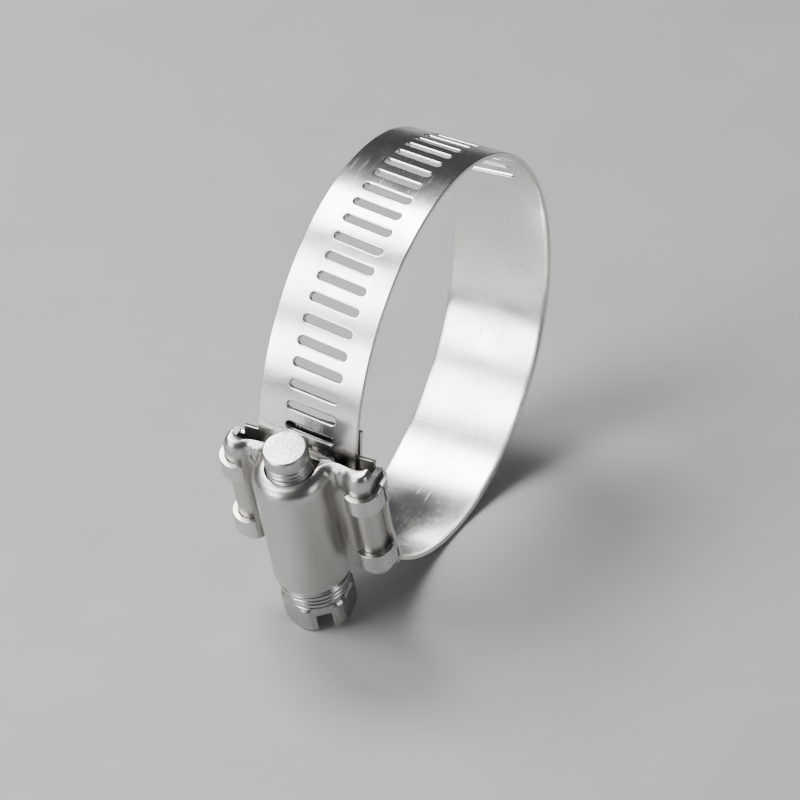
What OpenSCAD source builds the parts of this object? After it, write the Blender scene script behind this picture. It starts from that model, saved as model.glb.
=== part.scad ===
// Worm-drive hose clamp, millimetres. The hose axis is Y through the origin, and +Z is up.
// Everything is drawn with the housing on top: X along the screw towards its tip, Z outwards from the
// ring. place() then leans it over to the side of the ring.

/* [Ring] */
// Inner radius of the closed ring, where the hose sits
hose_r = 24.25; // [20:0.05:30]
// Width of the band along the hose
band_width = 12.7; // [8:0.1:16]
// Thickness of the band
band_t = 0.6; // [0.4:0.05:1]
// Lean of the screw axis away from upright
lean = 18.4; // [0:0.1:90]

/* [Slots] */
// Distance from one slot to the next along the band, the same as the thread's pitch
pitch = 2.6; // [2:0.05:4]
// Length of a slot over its round ends
slot_length = 6.4; // [4:0.1:9]
// Width of a slot
slot_width = 1.0; // [0.6:0.05:1.4]
// Skew of the slots, which follows the thread
slot_skew = 6.5; // [0:0.1:12]
// Middle of the slots, towards the front edge from the middle of the band
slot_offset = 0.35; // [0:0.05:1]
// Nearest slot's place towards the tip from the middle of the screw
slot_lead = 0.35; // [0:0.05:1.3]
// Last slot on the side of the free end
slot_first = -2; // [-3:1:0]
// Last slot on the far side, counted from the screw
slot_last = 28; // [20:1:30]

/* [Saddle] */
// Thickness of the saddle's floor, between the two layers of band
floor_t = 0.48; // [0.3:0.01:0.8]
// Thickness of the saddle's fingers
finger_t = 0.7; // [0.4:0.05:1]
// Length of one finger along the screw
finger_length = 2.7; // [2:0.1:4]
// Upper edge of the upper pair of fingers
finger_top = 7.2; // [5:0.1:8]
// Distance between the two pairs of fingers
finger_gap = 10.1; // [8:0.1:11]

/* [Housing] */
// Thickness of the housing's sheet
sheet = 0.75; // [0.5:0.05:1]
// Outer radius of the barrel round the screw
barrel_r = 4.55; // [4:0.05:6]
// End of the barrel towards the head
barrel_low = -7.95; // [-9:0.05:-6]
// Start of the rounded lip at the tip end
barrel_high = 8.4; // [7:0.1:9]
// Outer face of the end wall
wall_face = 10; // [9:0.1:11]
// Centre of the side arches across the housing
arch_v = 8.1; // [7:0.1:9]
// Centre of the side arches outwards from the ring
arch_w = 26.8; // [26:0.05:28]
// Outer radius of the side arches
arch_r = 1.6; // [1:0.05:2]
// Radius of the valleys between barrel and arches
valley_r = 1.1; // [0.6:0.05:1.6]

/* [Screw] */
// Height of the screw axis over the ring centre
axis_w = 28.75; // [27:0.05:31]
// Outer radius of the thread
thread_r = 3.35; // [2.8:0.05:4]
// Radius of the core
core_r = 2.4; // [2:0.05:3]
// Radius of the plain tip
tip_r = 2.7; // [2:0.05:3]
// End face of the tip
tip_end = 13.5; // [11:0.1:15]
// Radius of the flange
flange_r = 4.3; // [4:0.05:5]
// Width across the flats of the hex
hex_flats = 8; // [7:0.1:9]
// End face of the hex
head_end = -15.4; // [-18:0.1:-13]
// Width of the driver slot
drive_width = 1.9; // [1:0.1:2.5]
// Depth of the driver slot
drive_depth = 2.7; // [1:0.1:3.5]
// Turn of the driver slot from the outward direction
drive_turn = 36; // [0:1:60]

/* [Hidden] */
$fn = 96;
fixed_r = hose_r + band_t / 2;                  // neutral radius of the fixed half
floor_r = hose_r + band_t + floor_t;            // top of the saddle's floor
slide_r = floor_r + 0.07;                       // inner face of the sliding band at the screw
shift = (slide_r - hose_r) / 2;                 // centre of the slotted half, towards the housing
loop_r = slide_r - shift;                       // inner radius of the slotted half
step = 360 * pitch / (2 * PI * (loop_r + band_t / 2));
lead = 360 * slot_lead / (2 * PI * (loop_r + band_t / 2));
first_hinge = 60;
hinge_step = 30;
seam = 180;
seam_gap = 0.45;                                // degrees
tail_end = 19;
fixed_end = -27;
function slot_hinge(i) = 360 - lead - step * (10.5 + 5 * i);

module place() rotate([0, -(90 + lean), 0]) children();

// A strip bent round the hose axis, from angle a to angle b past the housing, r0 its inner radius
module strip(r0, t, a, b, w = band_width)
    rotate([90, 0, 0]) rotate_extrude(start = 90 + a, angle = b - a)
        translate([r0, -w / 2]) square([t, w]);

// One slot, standing through the band over the screw
module slot_cut()
    translate([0, -slot_offset, 0]) rotate([0, 0, -slot_skew]) linear_extrude(6, center = true) union() {
        square([slot_width, slot_length - slot_width], center = true);
        for (s = [-1, 1]) translate([0, s * (slot_length - slot_width) / 2])
            circle(d = slot_width, $fn = 32);
    }

module slots(j0, j1)
    for (j = [j0 : j1]) rotate([0, lead + step * j, 0]) translate([0, 0, loop_r + band_t / 2]) slot_cut();

// A length of the slotted half between two angles, with the slots j0 to j1
module slotted(a, b, j0, j1)
    translate([0, 0, shift]) difference() {
        strip(loop_r, band_t, a, b);
        if (j1 >= j0) slots(j0, j1);
    }

module fixed(a, b) strip(hose_r, band_t, a, b);

// ---------------------------------------------------------------- housing
valley_w = arch_w + valley_r;
valley_v = arch_v - sqrt(pow(arch_r + valley_r, 2) - pow(valley_r, 2));
barrel_fit = norm([valley_v, valley_w - axis_w]) - valley_r;

module along() rotate([90, 0, 90]) children();

// The housing's outline across the screw, moved inwards by d and filled down to low
module profile(d, low) difference() {
    union() {
        translate([0, axis_w]) circle(r = barrel_fit - d);
        for (s = [-1, 1]) translate([s * arch_v, arch_w]) circle(r = arch_r - d);
        polygon([[-arch_v - arch_r + d, low], [arch_v + arch_r - d, low], [arch_v + arch_r - d, arch_w],
                 [arch_v, arch_w], [valley_v, valley_w], [0, axis_w], [-valley_v, valley_w],
                 [-arch_v, arch_w], [-arch_v - arch_r + d, arch_w]]);
    }
    for (s = [-1, 1]) translate([s * valley_v, valley_w]) circle(r = valley_r + d + 0.03);
}

module slab(d, low, u0, u1) translate([u0, 0, 0]) along() linear_extrude(u1 - u0) profile(d, low);

module housing() color("#b9b7b2") place() difference() {
    union() {
        slab(0, 23.2, barrel_low, wall_face - 0.9);
        // the end wall, with its edge stepped in towards the face
        slab(0.3, 26, wall_face - 1.3, wall_face - 0.4);
        slab(0.7, 26, wall_face - 1.2, wall_face);
    }
    slab(sheet, 20, barrel_low - 1, wall_face - sheet);
    // the feet stand on the saddle's floor
    rotate([90, 0, 0]) cylinder(r = floor_r + 0.02, h = 40, center = true);
    // the arches stop short of the barrel at the head's end
    for (s = [-1, 1]) translate([barrel_low - 1, s > 0 ? 5.9 : -15.9, 20]) cube([2.15, 10, 15]);
    // notch for the tip, open towards the band
    translate([8.6, 0, 0]) along() linear_extrude(4) union() {
        translate([0, axis_w]) circle(r = 2.85);
        translate([-2.85, axis_w - 8]) square([5.7, 8]);
    }
}

// ---------------------------------------------------------------- saddle
finger_in = arch_r + 0.03;
module finger(top) for (s = [-1, 1]) scale([1, s, 1])
    translate([top - finger_length, 0, 0]) along() linear_extrude(finger_length) union() {
        translate([arch_v, arch_w]) intersection() {
            difference() {
                circle(r = finger_in + finger_t);
                circle(r = finger_in);
            }
            polygon([[0, 0], [4, 0], [4, 4], [-3.4, 4]]);
        }
        translate([arch_v + finger_in, hose_r + band_t + 0.2])
            square([finger_t, arch_w - hose_r - band_t - 0.2 + 0.001]);
    }

module saddle() color("#c3c1bd") place() union() {
    wide = 2 * (arch_v + finger_in + finger_t);
    strip(hose_r + band_t + 0.005, floor_t - 0.005, -17.6, 18.4, wide);
    // low side walls
    difference() {
        for (s = [-1, 1])
            translate([-7.6, s * (wide / 2 - finger_t / 2) - finger_t / 2, 23]) cube([15.1, finger_t, 2.9]);
        rotate([90, 0, 0]) cylinder(r = hose_r + band_t + 0.2, h = 40, center = true);
    }
    // the floor runs on, narrower, to the end wall
    strip(hose_r + band_t + 0.005, floor_t - 0.005, -21, -16.5, 17.2);
    finger(finger_top);
    finger(finger_top - finger_gap);
}

// ---------------------------------------------------------------- screw
thread_low = -6.5;
thread_high = 7.9;
module thread() {
    parts = 24;
    n = floor((thread_high - thread_low) / pitch * parts);
    // the ridge crosses the band side of the screw exactly over a slot
    function row(i) = let (a = 360 * i / parts, u = thread_low + pitch * i / parts,
                           turn = a + 360 * thread_low / pitch - 90,
                           grow = min(1, min(i, n - i) / 8), top = core_r + 0.1 + grow * (thread_r - core_r - 0.1))
        [for (q = [[core_r - 0.02, -0.55], [top, -0.22], [top, 0.22], [core_r - 0.02, 0.55]])
            [u + slot_lead + q[1], q[0] * cos(turn), axis_w + q[0] * sin(turn)]];
    points = [for (i = [0 : n]) each row(i)];
    polyhedron(points, concat(
        [[0, 1, 2, 3]],
        [for (i = [0 : n - 1]) for (k = [0 : 3]) let (a = 4 * i + k, b = 4 * i + (k + 1) % 4)
            each [[a, a + 4, b + 4], [a, b + 4, b]]],
        [[4 * n + 3, 4 * n + 2, 4 * n + 1, 4 * n]]));
}

module screw_thread() color("#b4b3b0") place() thread();

module hex_head() intersection() {
    rotate([drive_turn, 0, 0]) translate([head_end, 0, 0]) rotate([0, 90, 0]) linear_extrude(4)
        polygon([for (k = [0 : 5]) hex_flats / sqrt(3) * [cos(60 * k + 30), sin(60 * k + 30)]]);
    rotate([0, 90, 0]) rotate_extrude()
        polygon([[0, head_end], [3.95, head_end], [4.35, head_end + 0.5], [4.35, -11.3], [0, -11.3]]);
}

module screw() color("#aaa9a6") place() {
    translate([0, 0, axis_w]) difference() {
        union() {
            rotate([0, 90, 0]) rotate_extrude() polygon([
                [0, -12], [4.0, -12], [4.0, -11.5], [3.86, -11.3], [4.06, -11.1], [4.06, -10.8],
                [3.9, -10.65], [3.9, -10.5], [4.18, -10.35], [4.18, -10.0], [4.05, -9.85], [4.05, -9.75],
                [flange_r, -9.65], [flange_r, -9.15], [4.2, -9.05], [3.55, -7.95], [3.35, -7.7],
                [3.35, -6.9], [core_r, -6.7], [core_r, 8.6], [tip_r, 8.75], [tip_r, 9.8],
                [2.4, 10.0], [2.4, 10.25], [tip_r, 10.45], [tip_r, 10.6], [2.4, 10.8], [2.4, 11.0],
                [tip_r, 11.2], [tip_r, 11.3], [2.45, 11.5], [2.45, 11.65], [tip_r, 11.85], [tip_r, tip_end - 0.25], [tip_r - 0.25, tip_end], [0, tip_end]]);
            hex_head();
        }
        rotate([drive_turn, 0, 0]) translate([head_end - 1, -drive_width / 2, -6])
            cube([drive_depth + 1, drive_width, 12]);
    }
}

// ---------------------------------------------------------------- band
module band_fixed_end() color("#d6d6d4") place() fixed(fixed_end, first_hinge);
module band_link_1() color("#d0d0ce") place() fixed(first_hinge, first_hinge + hinge_step);
module band_link_2() color("#d6d6d4") place() fixed(first_hinge + hinge_step, first_hinge + 2 * hinge_step);
module band_link_3() color("#d0d0ce") place()
    fixed(first_hinge + 2 * hinge_step, first_hinge + 3 * hinge_step);
module band_link_4() color("#d6d6d4") place() fixed(first_hinge + 3 * hinge_step, seam - seam_gap);
module band_link_5() color("#d0d0ce") place() slotted(seam, slot_hinge(3), 26, slot_last);
module band_link_6() color("#d6d6d4") place() slotted(slot_hinge(3), slot_hinge(2), 21, 25);
module band_link_7() color("#d0d0ce") place() slotted(slot_hinge(2), slot_hinge(1), 16, 20);
module band_link_8() color("#d6d6d4") place() slotted(slot_hinge(1), slot_hinge(0), 11, 15);
module band_slotted_end() color("#d0d0ce") place() difference() {
    slotted(slot_hinge(0), 360 + tail_end, slot_first, 10);
    // trimmed corners of the free end
    translate([0, 0, shift]) rotate([0, -tail_end, 0]) for (s = [-1, 1])
        translate([0, s * band_width / 2, loop_r]) rotate([0, 0, 45]) cube([2.2, 2.2, 6], center = true);
}

housing();
saddle();
screw();
screw_thread();
band_fixed_end();
band_slotted_end();
band_link_1();
band_link_2();
band_link_3();
band_link_4();
band_link_5();
band_link_6();
band_link_7();
band_link_8();
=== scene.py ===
import math
import bpy
import numpy as np
from mathutils import Matrix, Vector


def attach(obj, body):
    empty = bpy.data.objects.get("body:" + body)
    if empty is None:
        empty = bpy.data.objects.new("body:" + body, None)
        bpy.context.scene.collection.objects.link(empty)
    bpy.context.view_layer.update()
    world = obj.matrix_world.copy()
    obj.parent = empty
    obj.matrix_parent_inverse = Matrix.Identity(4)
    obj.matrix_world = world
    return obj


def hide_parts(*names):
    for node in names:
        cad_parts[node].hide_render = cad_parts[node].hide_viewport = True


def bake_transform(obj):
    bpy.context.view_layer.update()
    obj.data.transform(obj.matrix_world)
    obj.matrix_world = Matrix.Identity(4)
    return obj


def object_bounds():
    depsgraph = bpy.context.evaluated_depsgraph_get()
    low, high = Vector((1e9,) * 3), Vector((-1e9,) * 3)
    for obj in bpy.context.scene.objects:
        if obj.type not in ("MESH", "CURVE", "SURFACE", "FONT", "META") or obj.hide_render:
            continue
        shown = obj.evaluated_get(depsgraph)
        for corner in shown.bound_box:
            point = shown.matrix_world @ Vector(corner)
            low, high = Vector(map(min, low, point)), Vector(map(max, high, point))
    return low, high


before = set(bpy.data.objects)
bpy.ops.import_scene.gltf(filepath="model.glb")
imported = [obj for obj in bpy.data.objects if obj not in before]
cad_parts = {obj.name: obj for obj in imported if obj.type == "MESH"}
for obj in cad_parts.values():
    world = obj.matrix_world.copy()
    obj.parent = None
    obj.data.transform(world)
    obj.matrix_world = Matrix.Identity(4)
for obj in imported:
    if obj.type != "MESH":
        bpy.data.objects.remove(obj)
before = [list(c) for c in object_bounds()]

# ------------------------------------------------------------------ sizes, millimetres
LEAN = math.radians(18.4)
U = np.array([-math.sin(LEAN), 0, math.cos(LEAN)])      # along the screw, towards its tip
V = np.array([0.0, 1.0, 0.0])                            # along the hose
OUT = np.array([-math.cos(LEAN), 0, -math.sin(LEAN)])    # outwards through the housing
HOSE, T, WIDTH, PITCH = 24.25, 0.6, 12.7, 2.6
SLIDE = HOSE + T + 0.48 + 0.07
SHIFT = (SLIDE - HOSE) / 2
LOOP = SLIDE - SHIFT
STEP = 360 * PITCH / (2 * math.pi * (LOOP + T / 2))
AXIS = 28.75
LEAD, OFFSET = 0.35, 0.35           # where the slots sit against the screw and across the band
ARCH_V, ARCH_W, ARCH_R, VAL_R, SHEET = 8.1, 26.8, 1.6, 1.1, 0.75
VAL_W = ARCH_W + VAL_R
VAL_V = ARCH_V - math.sqrt((ARCH_R + VAL_R) ** 2 - VAL_R ** 2)
BARREL = math.hypot(VAL_V, VAL_W - AXIS) - VAL_R


def row(u, v, w):
    """Screw coordinates in mm, as arrays, to points in the row frame in metres."""
    u, v, w = np.broadcast_arrays(np.asarray(u, float), v, w)
    return (u[..., None] * U + v[..., None] * V + w[..., None] * OUT) / 1000


def on_ring(angle, v, r, shift):
    """Points at that angle in degrees past the housing, radius r about a centre moved out by shift."""
    a = np.radians(angle)
    return row(-r * np.sin(a), v, shift + r * np.cos(a))


# ------------------------------------------------------------------ meshes
def make(name, verts, faces, sharp=35, uv=None, smooth=True):
    """A closed mesh from points in metres and lists of faces. Points within a micron are one."""
    key = np.round(verts * 2e6).astype(np.int64)
    _, first, back = np.unique(key, axis=0, return_index=True, return_inverse=True)
    back = back.reshape(-1)
    out = []
    uvs = []
    for f in faces:
        g = back[f]
        keep = g != np.roll(g, 1, axis=1)
        full = keep.all(axis=1)
        out += g[full].tolist()
        uvs += f[full].tolist()
        for i in np.nonzero(~full)[0]:
            q = g[i][keep[i]]
            if len(set(q.tolist())) >= 3:
                out.append(q.tolist())
                uvs.append(f[i][keep[i]].tolist())
    me = bpy.data.meshes.new(name)
    me.from_pydata(verts[first].tolist(), [], out)
    if uv is not None:
        layer = me.uv_layers.new(name="UVMap")
        corners = np.concatenate([np.array(q) for q in uvs])
        layer.data.foreach_set("uv", uv[corners].astype(np.float32).ravel())
    me.polygons.foreach_set("use_smooth", [smooth] * len(me.polygons))
    me.update()
    if sharp:
        me.set_sharp_from_angle(angle=math.radians(sharp))
    ob = bpy.data.objects.new(name, me)
    bpy.context.scene.collection.objects.link(ob)
    return ob


def grid_faces(rows, cols, at=0, wrap=False, flip=False):
    """Quads over a rows x cols block of points that starts at index at."""
    c = cols if wrap else cols - 1
    i, j = np.meshgrid(np.arange(rows - 1), np.arange(c), indexing="ij")
    k = (j + 1) % cols
    f = np.stack([i * cols + j, i * cols + k, (i + 1) * cols + k, (i + 1) * cols + j], -1).reshape(-1, 4) + at
    return f[:, ::-1] if flip else f


def sheet_faces(rows, cols):
    """Faces of a closed sheet: two rows x cols blocks of points, joined along all four rims."""
    n = rows * cols
    i = np.arange(cols - 1)
    last = n - cols + i
    r = np.arange(rows - 1) * cols
    far = r + cols - 1
    edges = [(i, i + 1), (last, last + 1), (r, r + cols), (far, far + cols)]
    return [grid_faces(rows, cols), grid_faces(rows, cols, n, flip=True)] + [
        np.stack([a, b, n + b, n + a], -1) for a, b in edges]


def rims(ob, width, segments=3, angle=50):
    """Rounds the sharp edges of a piece, width in mm."""
    bev = ob.modifiers.new("rims", "BEVEL")
    bev.width, bev.segments = width / 1000, segments
    bev.limit_method, bev.angle_limit = "ANGLE", math.radians(angle)


def fit(ob, material, body):
    """Gives a piece its material, and makes it ride a body."""
    ob.data.materials.append(material)
    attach(ob, body)
    return ob


def outward(ob):
    """Turns every face of a closed piece outwards."""
    import bmesh
    bm = bmesh.new()
    bm.from_mesh(ob.data)
    bmesh.ops.recalc_face_normals(bm, faces=bm.faces)
    bm.to_mesh(ob.data)
    bm.free()
    return ob


# ------------------------------------------------------------------ band
EDGE_N = 20        # steps across the band on a cell's side
SIDE_N = 8         # steps along a cell's edge
ROLL = 0.16        # rounding of the slots' edges
SLOT_HALF, SLOT_R = 2.7, 0.5        # half length of a slot's straight side, and the radius of its ends
SLOT_SKEW = math.radians(6.5)
PLAIN_STEP = 0.65  # length of one step along plain band
# the band's rolled long edge: how far it stands out, and its height in thicknesses
EDGE = np.array([[0, 0.5], [0.05, 0.47], [0.09, 0.4], [0.11, 0.28],
                 [0.11, -0.28], [0.09, -0.4], [0.05, -0.47], [0, -0.5]])


def slot_line(t):
    """Points round a slot's outline, t in turns from the middle of its right side: (along, across) in mm."""
    half, r = SLOT_HALF, SLOT_R
    total = 4 * half + 2 * math.pi * r
    d = (t % 1.0) * total
    a1 = half
    a2 = a1 + math.pi * r
    a3 = a2 + 2 * half
    a4 = a3 + math.pi * r
    x = np.full_like(d, r)
    y = d.copy()
    k = (d > a1) & (d <= a2)
    ang = (d - a1) / r
    x = np.where(k, r * np.cos(ang), x)
    y = np.where(k, half + r * np.sin(ang), y)
    k = (d > a2) & (d <= a3)
    x = np.where(k, -r, x)
    y = np.where(k, half - (d - a2), y)
    k = (d > a3) & (d <= a4)
    ang = (d - a3) / r
    x = np.where(k, -r * np.cos(ang), x)
    y = np.where(k, -half - r * np.sin(ang), y)
    k = d > a4
    x = np.where(k, r, x)
    y = np.where(k, -half + (d - a4), y)
    return x, y


def cell_line():
    """Points round a cell's rectangle, starting up its right side: (along, across) in mm."""
    h, w = PITCH / 2, WIDTH / 2
    up = np.linspace(-w, w, EDGE_N + 1)[:-1]
    left = np.linspace(h, -h, SIDE_N + 1)[:-1]
    x = np.concatenate([np.full(EDGE_N, h), left, np.full(EDGE_N, -h), -left])
    y = np.concatenate([up, np.full(SIDE_N, w), -up, np.full(SIDE_N, -w)])
    return x, y


def slot_cell():
    """One cell of slotted band, flat: layers of (along, across, height), from the slot out to the rectangle.

    The cell's long sides face the slot's straight sides. Its ends fan round the slot's round ends, which they
    share out from 38 degrees past the straight on one side to 38 degrees short of it on the other.
    """
    x1, y1 = cell_line()
    n = len(x1)
    half, r = SLOT_HALF, SLOT_R
    total = 4 * half + 2 * math.pi * r
    lim = 4.6
    fan = math.radians(38) * r
    right = (x1 > PITCH / 2 - 1e-9)
    leftm = (x1 < -PITCH / 2 + 1e-9)
    over = np.clip((np.abs(y1) - lim) / (WIDTH / 2 - lim), 0, 1) * fan
    s_r = np.where(np.abs(y1) <= lim, y1 * half / lim, np.sign(y1) * (half + over))
    top = ~(right | leftm)
    d = s_r
    d = np.where(leftm, 2 * half + math.pi * r - s_r, d)
    frac = (PITCH / 2 - x1 * np.sign(y1)) / PITCH
    span = math.pi * r - 2 * fan
    base = np.where(y1 > 0, half + fan, 3 * half + math.pi * r + fan)
    d = np.where(top, base + frac * span, d)
    x0, y0 = slot_line(d / total)
    # outward direction of the slot's outline
    ox, oy = x0 / r, (y0 - np.clip(y0, -half, half)) / r
    c, sn = math.cos(SLOT_SKEW), math.sin(SLOT_SKEW)
    layers = []
    # steps of the rolled edge: how far each stands back from the slot, and its share of the roll
    roll = [(0.0, 1), (0.02, 0.55), (0.07, 0.18), (0.15, 0.03), (0.24, 0)]
    for off, h in [(0.0, 0.0)] + [(off, 0.5 - share * ROLL / T) for off, share in roll]:
        px, py = x0 + ox * off, y0 + oy * off
        layers.append((px * c + py * sn, -px * sn + py * c - OFFSET, np.full(n, h * T)))
    a = np.stack([layers[-1][0], layers[-1][1]])
    b = np.stack([x1, y1])
    for f in (0.2, 0.42, 0.68, 1.0):
        q = a * (1 - f) + b * f
        layers.append((q[0], q[1], np.full(n, 0.5 * T)))
    return np.array(layers)          # layer, xyz, point


CELL = slot_cell()


def place_on(arc_mm, v, h, shift, neutral):
    """Flat band coordinates to the ring: arc_mm past the housing along the neutral radius."""
    return on_ring(np.degrees(arc_mm / neutral), v, neutral + h, shift)


def strip(name, cells, plain, shift, neutral, mat):
    """A closed length of band: cells are its slot numbers, plain its (from, to) arcs in mm without slots."""
    pts, uvs, faces, at = [], [], [], 0
    w = WIDTH / 2
    L, n = CELL.shape[0], CELL.shape[2]
    for j in cells:
        centre = -PITCH * j - LEAD
        # tightening moves slots towards the head, and their along axis runs up the screw
        for side in (1, -1):
            x, y, h = CELL[:, 0], CELL[:, 1], CELL[:, 2] * side
            arc = centre - x
            pts.append(place_on(arc, y, h, shift, neutral).reshape(-1, 3))
            uvs.append(np.stack([arc / 1000, y / 1000], -1).reshape(-1, 2))
            faces.append(grid_faces(L, n, at, wrap=True, flip=side < 0))
            at += L * n
    for a, b in plain:
        m = max(1, int(abs(b - a) / PLAIN_STEP))
        arc, y = np.meshgrid(np.linspace(a, b, m + 1), np.linspace(-w, w, EDGE_N + 1), indexing="ij")
        for side in (1, -1):
            pts.append(place_on(arc, y, T / 2 * side, shift, neutral).reshape(-1, 3))
            uvs.append(np.stack([arc / 1000, y / 1000], -1).reshape(-1, 2))
            faces.append(grid_faces(m + 1, EDGE_N + 1, at, flip=side < 0))
            at += (m + 1) * (EDGE_N + 1)
    # long edges: every outline point on them, top joined to bottom over a rounded strip
    arcs = [np.linspace(-PITCH * (j + 0.5), -PITCH * (j - 0.5), SIDE_N + 1) - LEAD for j in cells]
    arcs += [np.linspace(a, b, max(1, int(abs(b - a) / PLAIN_STEP)) + 1) for a, b in plain]
    for arc in arcs:
        for s in (-1, 1):
            A, K = np.meshgrid(arc, np.arange(len(EDGE)), indexing="ij")
            y = s * (w + EDGE[K, 0])
            pts.append(place_on(A, y, EDGE[K, 1] * T, shift, neutral).reshape(-1, 3))
            uvs.append(np.stack([A / 1000, y / 1000], -1).reshape(-1, 2))
            faces.append(grid_faces(len(arc), len(EDGE), at, flip=s < 0))
            at += len(arc) * len(EDGE)
    lo = min(a.min() for a in arcs)
    hi = max(a.max() for a in arcs)
    yy = np.linspace(-w, w, EDGE_N + 1)
    loop = [(y, 0.5) for y in yy] + [(w + p[0], p[1]) for p in EDGE[1:-1]] + [(y, -0.5) for y in yy[::-1]]
    loop += [(-w - p[0], p[1]) for p in EDGE[::-1][1:-1]]
    loop = np.array(loop)
    for end in (lo, hi):
        m = len(loop)
        pts.append(place_on(np.full(m, end), loop[:, 0], loop[:, 1] * T, shift, neutral))
        uvs.append(np.stack([np.full(m, end) / 1000, loop[:, 0] / 1000], -1))
        # quads between the upper and lower rows, and fans at the rounded ends
        e = EDGE_N
        k = np.arange(e)
        top, bot = k, (e + 1 + 6) + (e - k)
        faces.append(np.stack([top, top + 1, bot - 1, bot], -1) + at)
        # each rolled long edge closes the cut with a fan
        for first, start, stop in ((e, e + 1, e + 7), (2 * (e + 1) + 5, 2 * (e + 1) + 6, 0)):
            rim = np.concatenate([[first], start + np.arange(6), [stop]])
            fan = [[rim[0], rim[i], rim[i + 1], rim[i + 1]] for i in range(1, 7)]
            faces.append(np.array(fan) + at)
        at += m
    ob = outward(make(name, np.concatenate(pts), faces, 40, np.concatenate(uvs)))
    ob.data.materials.append(mat)
    return ob


# ------------------------------------------------------------------ materials
class Nodes:
    """A small helper that adds nodes and links them by name."""
    def __init__(self, name):
        self.m = bpy.data.materials.new(name)
        self.m.use_nodes = True
        self.t = self.m.node_tree
        self.b = self.t.nodes["Principled BSDF"]

    def add(self, kind, inputs=None, **props):
        n = self.t.nodes.new(kind)
        for k, v in props.items():
            setattr(n, k, v)
        for k, v in (inputs or {}).items():
            if hasattr(v, "is_output"):
                self.t.links.new(v, n.inputs[k])
            else:
                n.inputs[k].default_value = v
        return n

    def link(self, a, b):
        self.t.links.new(a, b)

    def ramp(self, src, stops):
        n = self.add("ShaderNodeMapRange", {"Value": src, "From Min": stops[0], "From Max": stops[1],
                                           "To Min": stops[2], "To Max": stops[3]})
        return n.outputs["Result"]


def steel(name, colour, rough, stretch=(1, 1, 1), coords="Object", scale=900.0, bump=0.15, scratches=0.0,
          spread=0.12, blotch=0.05):
    """Bare steel: a fine grain in colour, roughness and height, soft blotches, and optional scratches."""
    k = Nodes(name)
    k.b.inputs["Metallic"].default_value = 1.0
    src = k.add("ShaderNodeTexCoord").outputs[coords]
    m = k.add("ShaderNodeMapping", {"Vector": src, "Scale": stretch})
    fine = k.add("ShaderNodeTexNoise", {"Vector": m.outputs["Vector"], "Scale": scale, "Detail": 6.0,
                                        "Roughness": 0.65})
    soft = k.add("ShaderNodeTexNoise", {"Vector": src, "Scale": 190.0, "Detail": 3.0})
    grain = k.ramp(fine.outputs["Fac"], (0.3, 0.7, -spread, spread))
    patches = k.ramp(soft.outputs["Fac"], (0.3, 0.7, -blotch, blotch))
    total = k.add("ShaderNodeMath", {0: grain, 1: patches}, operation="ADD")
    wear = k.add("ShaderNodeMath", {0: total.outputs[0], 1: rough}, operation="ADD", use_clamp=True)
    tone = k.ramp(total.outputs[0], (-0.25, 0.25, 1.06, 0.92))
    grey = k.add("ShaderNodeCombineColor", {"Red": tone, "Green": tone, "Blue": tone})
    # inputs 0, 6 and 7 are the factor and the two colours, and output 2 is the mixed colour
    mix = k.add("ShaderNodeMix", data_type="RGBA", blend_type="MULTIPLY")
    mix.inputs[0].default_value = 1.0
    mix.inputs[6].default_value = (*colour, 1.0)
    k.link(grey.outputs[0], mix.inputs[7])
    k.link(mix.outputs[2], k.b.inputs["Base Color"])
    height = fine.outputs["Fac"]
    roughness = wear.outputs[0]
    if scratches:
        ms = k.add("ShaderNodeMapping", {"Vector": src, "Scale": (260.0, 2600.0, 900.0),
                                         "Rotation": (0.0, 0.0, 0.5)})
        sc = k.add("ShaderNodeTexNoise", {"Vector": ms.outputs["Vector"], "Scale": 1.0, "Detail": 2.0,
                                          "Distortion": 0.6})
        lines = k.ramp(sc.outputs["Fac"], (0.66, 0.72, 0.0, scratches))
        worn = k.add("ShaderNodeMath", {0: roughness, 1: lines}, operation="ADD", use_clamp=True)
        roughness = worn.outputs[0]
        height = k.add("ShaderNodeMath", {0: height, 1: lines}, operation="SUBTRACT").outputs[0]
    k.link(roughness, k.b.inputs["Roughness"])
    bp = k.add("ShaderNodeBump", {"Height": height, "Strength": bump, "Distance": 0.00003})
    k.link(bp.outputs["Normal"], k.b.inputs["Normal"])
    return k.m


BAND = steel("band_brushed", (0.80, 0.79, 0.77), 0.24, stretch=(0.03, 1, 1), coords="UV", scale=9000.0,
             bump=0.07, scratches=0.10, spread=0.035, blotch=0.05)
HOUSING = steel("housing_satin", (0.58, 0.57, 0.54), 0.34, scale=4200.0, bump=0.22, spread=0.07, blotch=0.05)
SADDLE = steel("saddle_satin", (0.66, 0.65, 0.62), 0.32, scale=4600.0, bump=0.12, spread=0.06, blotch=0.05)
SCREW = steel("screw_satin", (0.55, 0.54, 0.52), 0.26, scale=6500.0, bump=0.05, spread=0.05, blotch=0.05)
TIP = steel("screw_tip_grain", (0.58, 0.58, 0.57), 0.40, scale=3300.0, bump=0.45, spread=0.12, blotch=0.08)

# ------------------------------------------------------------------ band pieces
RF, RS = HOSE + T / 2, LOOP + T / 2
mm = lambda deg, r: math.radians(deg) * r
LEAD_A = math.degrees(LEAD / RS)


def mid(angle, r, shift):
    return tuple(on_ring(np.array(angle), 0.0, r, shift).tolist())


def fixed_piece(name, a, b, body=None, window=None):
    ob = strip(name, [], [(mm(a, RF), mm(b, RF))], 0.0, RF, BAND)
    if body:
        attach(ob, body)
    else:
        mid(window[0], RF, 0.0)
        mid(window[1], RF, 0.0)
        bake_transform(ob)
    return ob


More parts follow.
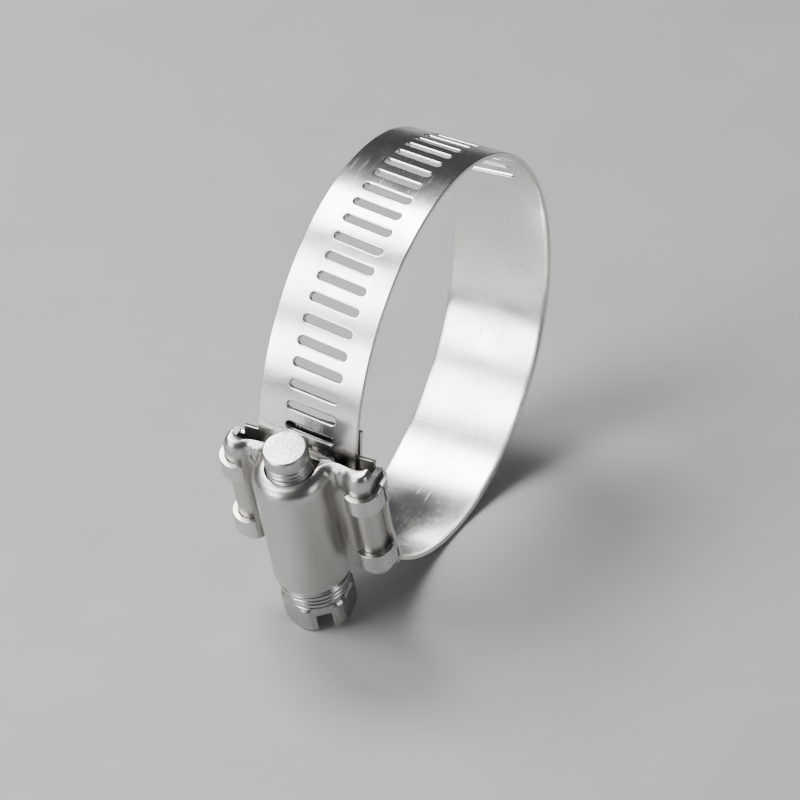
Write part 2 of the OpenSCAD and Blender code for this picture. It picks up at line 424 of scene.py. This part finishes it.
def slotted_piece(name, j0, j1, plain, body=None, window=None):
    """Slots j0 to j1, then plain arcs in mm past the housing."""
    ob = strip(name, list(range(j0, j1 + 1)), plain, SHIFT, RS, BAND)
    if body:
        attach(ob, body)
    else:
        start, end = (mid(-j * STEP - LEAD_A, RS, SHIFT) for j in window)
        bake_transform(ob)
    return ob


# the fixed half: root, four bends, and the length up to the seam
fixed = [fixed_piece("band_root", -27, 45, body="clamp_body")]
for i in range(4):
    h = 60 + 30 * i
    fixed.append(fixed_piece(f"band_bend_{i + 1}", h - 15, h + 15,
                             window=(h - 14, h + 14)))
fixed.append(fixed_piece("band_seam_low", 165, 180, body="band_link_4"))

# the slotted half: free end, four bends, and the length up to the seam
tail = slotted_piece("band_tail", -2, 8, [(mm(19, RS), 2.5 * PITCH - LEAD)], body="band_slotted_end")
bends = [("band_bend_8", 9, 12, "band_slotted_end", "band_link_8", 8.6, 12.4),
         ("band_bend_7", 13, 17, "band_link_8", "band_link_7", 13.5, 17.4),
         ("band_bend_6", 18, 22, "band_link_7", "band_link_6", 18.5, 22.4),
         ("band_bend_5", 23, 27, "band_link_6", "band_link_5", 23.5, 27.4)]
moving = [tail]
for name, j0, j1, a, b, w0, w1 in bends:
    moving.append(slotted_piece(name, j0, j1, [], window=(w0, w1)))
moving.append(slotted_piece("band_seam_high", 28, 28, [(-28.5 * PITCH - LEAD, mm(-180, RS))],
                            body="band_link_5"))

hidden = ["band_fixed_end", "band_link_1", "band_link_2", "band_link_3", None, "band_link_4",
          "band_slotted_end", "band_link_8", "band_link_7", "band_link_6", None, "band_link_5"]
for ob, node in zip(fixed + moving, hidden):
    if node:
        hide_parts(node)

# ------------------------------------------------------------------ housing
def profile():
    """Outer outline of the housing across the screw, from the crest of the barrel to the top of the foot.

    Returns points (v, w), their outward normals, how far the lip turns in at each, and how far the valley
    fills up there towards the end wall.
    """
    tb = math.atan2(AXIS - VAL_W, -VAL_V)
    ta = math.atan2(ARCH_W - VAL_W, ARCH_V - VAL_V)
    ba = math.atan2(VAL_W - AXIS, VAL_V)

    def arc(cv, cw, r, a, b, n, sign, skip, d0, d1):
        t = np.linspace(a, b, n)[skip:]
        nrm = np.stack([np.cos(t), np.sin(t)], -1) * sign
        s = np.linspace(0, 1, n)[skip:]
        s = s * s * (3 - 2 * s)
        return np.stack([cv + r * np.cos(t), cw + r * np.sin(t)], -1), nrm, d0 + (d1 - d0) * s
    half = arc(VAL_V, VAL_W, VAL_R, tb, ta + 2 * math.pi, 22, -1, 1, 1.6, 1.15)
    parts = [arc(0, AXIS, BARREL, math.pi / 2, ba, 30, 1, 0, LIP, 1.6), half,
             arc(ARCH_V, ARCH_W, ARCH_R, ta + math.pi, 0, 22, 1, 1, 1.15, 0.8)]
    line, nrm, lip = (np.concatenate(q) for q in zip(*parts))
    k = np.arange(len(lip))
    fill = 0.95 * np.exp(-((k - 30 - len(half[2]) / 2) / 9.0) ** 2)
    return line, nrm, lip, fill


LIP = 1.75
FACE = 10.0


def housing():
    """The pressed housing as one sheet, from an outer grid and an inner grid one sheet thickness below.

    The grid runs along the outline and up the screw, over the rounded lip and across the end wall.
    """
    def surface(d0, face, lip, edge):
        us = np.concatenate([np.linspace(-7.95, 5, 17), np.linspace(5, face - lip, 14)[1:]])
        rows_ = [(u, 0.0) for u in us]
        for a in np.linspace(0, math.pi / 2, 12)[1:]:
            rows_.append((face - lip + lip * math.sin(a), 1 - math.cos(a)))
        out = []
        line, nrm, turn, fill = profile()
        for u, d in rows_:
            g = min(1.0, max(0.0, (u - 5.2) / 3.4))
            right = line - nrm * (d0 + (turn - d0) * d - fill * g * g * (3 - 2 * g))[:, None]
            foot = np.stack([np.full(6, right[-1, 0]), np.zeros(6)], -1)
            floor_w = math.sqrt((HOSE + T + 0.48 + 0.03) ** 2 - min(u, 9.4) ** 2) if u < 8.3 else 25.0
            low = np.where(u < 8.3, floor_w, 25.4 + 0.6 * min(1, (u - 8.3) / 1.0))
            f = foot.copy()
            f[:, 1] = ARCH_W + (low - ARCH_W) * np.arange(1, 7) / 6
            half = np.concatenate([right, f])
            out.append(np.concatenate([half[::-1] * [-1, 1], half[1:]]))
        pv = np.array(out)
        C = pv.shape[1]
        far = np.clip((np.abs(pv[..., 0]) - 4.9) / 1.1, 0, 1)
        far = far * far * (3 - 2 * far) * np.where(np.abs(np.arange(C) - C // 2) > 30, 1, 0)
        us2 = np.array([r[0] for r in rows_])[:, None] * np.ones(C)
        us2 = us2 + 1.15 * far * np.clip((6 - us2) / 13.95, 0, 1)      # the arches stop short of the barrel
        # across the wall to the notch
        last = pv[-1]
        v, w = last[:, 0], last[:, 1]
        n = len(v)
        c = n // 2
        notch_r = 2.85
        tgt_v, tgt_w = np.zeros(n), np.zeros(n)
        k = np.abs(np.arange(n) - c)
        side = np.sign(np.arange(n) - c)
        nb = 30                                           # barrel points share the round of the notch
        t = np.clip(k / (nb - 1), 0, 1)
        th = math.pi / 2 - t * math.pi / 2
        tgt_v = notch_r * np.cos(th)
        tgt_w = AXIS + notch_r * np.sin(th)
        t2 = np.clip((k - (nb - 1)) / 14.0, 0, 1)
        tgt_w = np.where(k >= nb - 1, AXIS + (edge - AXIS) * t2, tgt_w)
        tgt_v = np.where(k >= nb - 1, notch_r, tgt_v)
        t3 = np.clip((k - (nb - 1) - 14) / (n // 2 - (nb - 1) - 14.0), 0, 1)
        tgt_v = np.where(t3 > 0, notch_r + (ARCH_V - 0.1 - notch_r) * t3, tgt_v)
        tgt_w = np.where(t3 > 0, edge + 0.45 * t3 ** 2, tgt_w)
        tgt_v = tgt_v * np.where(side == 0, 0, side)
        tgt = np.stack([tgt_v, tgt_w], -1)
        for f in (0.25, 0.5, 0.75, 1.0):
            q = last * (1 - f) + tgt * f
            pv = np.concatenate([pv, q[None]])
            us2 = np.concatenate([us2, np.full((1, C), face - 0.5 * f * f)])    # and dishes in a little
        return us2, pv
    uo, po = surface(0.0, FACE, LIP, 25.95)
    ui, pi_ = surface(SHEET, FACE - SHEET, LIP - SHEET, 25.95)
    R, C = po.shape[:2]
    A = row(uo, po[..., 0], po[..., 1]).reshape(-1, 3)
    B = row(ui, pi_[..., 0], pi_[..., 1]).reshape(-1, 3)
    ob = outward(make("housing_shell", np.concatenate([A, B]), sheet_faces(R, C), 40))
    rims(ob, 0.16)
    fit(ob, HOUSING, "clamp_body")
    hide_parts("housing")


housing()

# ------------------------------------------------------------------ saddle
def ribbon(name, line, t, u0, u1, mat, n=8, crosswise=False):
    """A strip of sheet along a line of (v, w) points, t thick to one side, from u0 to u1 along the screw.

    Crosswise, the line is (u, w) and the strip runs along v.
    """
    p = np.array(line)
    g = np.gradient(p, axis=0)
    nrm = np.stack([g[:, 1], -g[:, 0]], -1)
    nrm /= np.linalg.norm(nrm, axis=1, keepdims=True)
    q = p + nrm * t
    us = np.linspace(u0, u1, n)
    C = len(p)
    sides = []
    for d in (p, q):
        along, over = (d[None, :, 0], us[:, None]) if crosswise else (us[:, None], d[None, :, 0])
        sides.append(row(along, over, d[None, :, 1]).reshape(-1, 3))
    ob = outward(make(name, np.concatenate(sides), sheet_faces(n, C), 40))
    rims(ob, 0.08)
    fit(ob, mat, "clamp_body")


F_IN, F_T = ARCH_R + 0.03, 0.74
for k, top in enumerate((7.2, -2.9)):
    for s, tag in ((-1, "front"), (1, "back")):
        a = np.radians(np.linspace(0, 128, 26))
        curl = np.stack([ARCH_V + F_IN * np.cos(a), ARCH_W + F_IN * np.sin(a)], -1)
        wall = np.stack([np.full(6, ARCH_V + F_IN), np.linspace(25.6, ARCH_W, 7)[:-1]], -1)
        line = np.concatenate([wall, curl])
        line = line * [s, 1]
        ribbon(f"saddle_finger_{tag}_{k + 1}", line if s > 0 else line[::-1], F_T, top - 2.7, top, SADDLE)

def saddle_floor():
    """The saddle's floor, bent with the ring and turning up at both sides into low walls.

    Each section is a line of (v, radius) points: flat, a quarter round of 1.25 mm, then straight up.
    """
    wide, r0, bend = ARCH_V + F_IN + F_T, HOSE + T, 1.25
    us = np.linspace(-7.9, 7.55, 36)
    a = np.radians(np.linspace(0, 90, 10))
    t = np.linspace(0.48, F_T, 10)
    flat = np.linspace(0, wide - bend, 14)[:-1]

    def side(inner):
        v = np.concatenate([flat, wide - bend + (bend - t * inner) * np.sin(a)])
        r = np.concatenate([np.full(13, r0 + 0.48 * inner), r0 + bend - (bend - t * inner) * np.cos(a)])
        return v, r
    out = []
    for inner in (1, 0):
        v, r = side(inner)
        w = np.sqrt(r[None, :] ** 2 - us[:, None] ** 2)
        rise = np.linspace(0, 1, 5)[1:]
        top = np.interp(us, [-7.9, -7.0, 8], [25.2, 25.9, 25.9])[:, None]
        w = np.concatenate([w, w[:, -1:] + (np.maximum(top, w[:, -1:] + 0.02) - w[:, -1:]) * rise], 1)
        v = np.concatenate([v, np.full(4, v[-1])])
        w = np.concatenate([w[:, ::-1], w[:, 1:]], 1)
        v = np.concatenate([-v[::-1], v[1:]])
        ends = np.clip((-5.7 - us) / 2.2, 0, 1) ** 2 * 0.09
        out.append(row(us[:, None], v[None, :] * (1 - ends[:, None]), w).reshape(-1, 3))
    ob = outward(make("saddle_floor", np.concatenate(out), sheet_faces(len(us), len(v)), 40))
    rims(ob, 0.08, 2)
    fit(ob, SADDLE, "clamp_body")
    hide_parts("saddle")
    # the floor runs on, narrower, to the end wall
    k = np.radians(np.linspace(16.5, 20.1, 9))
    line = np.stack([r0 * np.sin(k), r0 * np.cos(k)], -1)
    ribbon("saddle_end", line[::-1], 0.5, -8.6, 8.6, SADDLE, n=24, crosswise=True)


saddle_floor()


# ------------------------------------------------------------------ screw
def lathe(name, prof, mat, n=96, hexa=None):
    """A closed body of revolution about the screw axis from (u, radius) points."""
    p = np.array(prof)
    t = np.arange(n) / n * 2 * math.pi
    r = np.repeat(p[:, 1:2], n, 1)
    if hexa is not None:
        r = hexa(p[:, 0:1], t[None, :], r)
    pts = row(np.repeat(p[:, 0:1], n, 1), r * np.cos(t), AXIS + r * np.sin(t)).reshape(-1, 3)
    ob = outward(make(name, pts, [grid_faces(len(p), n, wrap=True, flip=True)], 30))
    ob.data.materials.append(mat)
    return ob


def rounded(points, r=0.08, n=4):
    """Rounds the corners of a (u, radius) line."""
    p = np.array(points, float)
    out = [p[0]]
    for i in range(1, len(p) - 1):
        a, b, c = p[i - 1], p[i], p[i + 1]
        la, lc = np.linalg.norm(a - b), np.linalg.norm(c - b)
        k = min(r, 0.45 * la, 0.45 * lc)
        s, e = b + (a - b) / la * k, b + (c - b) / lc * k
        for f in np.linspace(0, 1, n):
            out.append(s * (1 - f) ** 2 + 2 * b * f * (1 - f) + e * f ** 2)
    out.append(p[-1])
    return np.array(out)


def screw_head():
    """Turned rings running into a hexagon with a chamfered end; the driver slot is cut through it."""
    prof = rounded([[-6.7, 0], [-6.7, 3.3], [-7.7, 3.35], [-8.0, 3.55], [-9.1, 4.2], [-9.2, 4.3], [-9.6, 4.3],
                    [-9.74, 4.04], [-9.86, 4.04], [-10.0, 4.2], [-10.3, 4.2], [-10.46, 3.88], [-10.6, 3.88],
                    [-10.78, 4.06], [-11.1, 4.06], [-11.28, 3.86], [-11.42, 3.86]], 0.05)
    flats = [[u, 9.0] for u in np.linspace(-11.5, -14.9, 12)]         # the hexagon cuts these down
    chamfer = [[-15.05, 4.32], [-15.2, 4.2], [-15.32, 4.06], [-15.4, 3.9], [-15.4, 0]]
    prof = np.concatenate([prof, np.array(flats + chamfer)])
    turn = math.radians(36)          # how far the hexagon and the driver slot are turned at rest
    normal = math.pi / 2 + turn
    half_flats, corner_r, neck = 4.0, 4.36, 3.86

    def hexa(u, t, r):
        """Radius at u and turn t: no more than the hexagon's, which grows out of the neck."""
        side = (t - normal + math.pi / 6) % (math.pi / 3) - math.pi / 6
        corner = np.minimum(half_flats / np.cos(side), corner_r)
        grow = np.clip((-11.42 - u) / 0.35, 0, 1)
        lim = np.where(u < -11.45, neck + (corner - neck) * np.sqrt(grow), 99.0)
        return np.minimum(r, lim)

    ob = lathe("screw_head", prof, SCREW, 192, hexa)
    cut = bpy.data.meshes.new("cut")
    along = np.array([-math.sin(turn), math.cos(turn)])
    across = np.array([math.cos(turn), math.sin(turn)])
    reach, half_slot, slot_bottom = 7, 0.95, -12.7
    corners = []
    for u in (-17.0, slot_bottom):
        for a, b in ((-reach, -half_slot), (reach, -half_slot), (reach, half_slot), (-reach, half_slot)):
            q = along * a + across * b
            corners.append(row(u, q[0], AXIS + q[1]).tolist())
    cut.from_pydata(corners, [], [(0, 3, 2, 1), (4, 5, 6, 7), (0, 1, 5, 4), (1, 2, 6, 5), (2, 3, 7, 6),
                                  (3, 0, 4, 7)])
    cutter = bpy.data.objects.new("cutter", cut)
    bpy.context.scene.collection.objects.link(cutter)
    outward(cutter)
    m = ob.modifiers.new("slot", "BOOLEAN")
    m.operation, m.object, m.solver = "DIFFERENCE", cutter, "EXACT"
    rims(ob, 0.05, 2, 60)
    bpy.context.view_layer.update()
    me = bpy.data.meshes.new_from_object(ob.evaluated_get(bpy.context.evaluated_depsgraph_get()))
    ob.modifiers.clear()
    ob.data = me
    me.polygons.foreach_set("use_smooth", [True] * len(me.polygons))
    me.set_sharp_from_angle(angle=math.radians(24))
    bpy.data.objects.remove(cutter)
    if not me.materials:
        me.materials.append(SCREW)
    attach(ob, "screw")
    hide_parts("screw")


screw_head()
stem = rounded([[-6.8, 0], [-6.8, 2.38], [8.6, 2.38], [8.75, 2.7], [9.8, 2.7], [10.0, 2.4], [10.25, 2.4],
                [10.45, 2.68], [10.6, 2.68], [10.8, 2.4], [11.0, 2.4], [11.2, 2.68], [11.3, 2.68],
                [11.5, 2.45], [11.65, 2.45], [11.85, 2.7], [13.32, 2.7], [13.5, 2.5], [13.5, 1.8]], 0.07)
shaft = lathe("screw_shaft", np.concatenate([stem, [[13.5, 1.0], [13.5, 0]]]), TIP)
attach(shaft, "screw")
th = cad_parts["screw_thread"]
th.data.materials.clear()
th.data.materials.append(SCREW)

# ------------------------------------------------------------------ camera
cam = bpy.data.cameras.new("camera")
co = bpy.data.objects.new("camera", cam)
bpy.context.scene.collection.objects.link(co)
bpy.context.scene.camera = co
az, el = math.radians(-62.67), math.radians(33.15)
back = np.array([math.sin(az) * math.cos(el), -math.cos(az) * math.cos(el), math.sin(el)])
right = np.array([math.cos(az), math.sin(az), 0.0])
up = np.cross(back, right)
where = (-1.0429 * right - 6.6381 * up + 1153.44 * back) / 1000
M = Matrix([[right[i], up[i], back[i], where[i]] for i in range(3)] + [[0, 0, 0, 1]])
co.matrix_world = M
cam.sensor_width = 36.0
cam.lens = 437.8
cam.clip_start, cam.clip_end = 0.05, 20.0

# ------------------------------------------------------------------ floor and light
low = min(before[0][2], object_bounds()[0][2])
k = Nodes("floor_pale")
k.b.inputs["Roughness"].default_value = 0.45
tc = k.add("ShaderNodeTexCoord")
nz = k.add("ShaderNodeTexNoise", {"Vector": tc.outputs["Object"], "Scale": 90.0, "Detail": 4.0})
tone = k.ramp(nz.outputs["Fac"], (0.3, 0.7, 0.66, 0.69))
grey = k.add("ShaderNodeCombineColor", {"Red": tone, "Green": tone, "Blue": tone})
k.link(grey.outputs[0], k.b.inputs["Base Color"])
me = bpy.data.meshes.new("floor")
me.from_pydata([(-3, -3, low), (3, -3, low), (3, 3, low), (-3, 3, low)], [], [(0, 1, 2, 3)])
me.materials.append(k.m)
floor = bpy.data.objects.new("floor", me)
bpy.context.scene.collection.objects.link(floor)


def area(name, pos, target, size, power, colour=(1, 1, 1), size_y=None):
    """A soft rectangular light at pos that faces target."""
    d = bpy.data.lights.new(name, "AREA")
    d.energy, d.color = power, colour
    d.shape = "RECTANGLE"
    d.size, d.size_y = size, size_y or size
    o = bpy.data.objects.new(name, d)
    o.location = pos
    o.rotation_mode = "QUATERNION"
    o.rotation_quaternion = (Vector(target) - Vector(pos)).to_track_quat("-Z", "Y")
    bpy.context.scene.collection.objects.link(o)


area("left", (-0.44, 0.22, 0.16), (0, 0, 0), 0.24, 0.9, size_y=0.20)
area("top", (0.10, 0.26, 0.50), (0, 0, 0), 0.24, 1.6)
area("between", (-0.26, 0.26, 0.42), (0, 0, 0), 0.26, 1.3)
area("front", (-0.12, -0.55, 0.22), (0, 0, 0), 0.14, 0.35, size_y=0.35)
world = bpy.data.worlds.new("world")
bpy.context.scene.world = world
world.use_nodes = True
world.node_tree.nodes["Background"].inputs["Color"].default_value = (0.9, 0.93, 1.0, 1)
world.node_tree.nodes["Background"].inputs["Strength"].default_value = 0.09
bpy.context.scene.view_settings.view_transform = "AgX"
bpy.context.scene.view_settings.look = "AgX - Medium High Contrast"
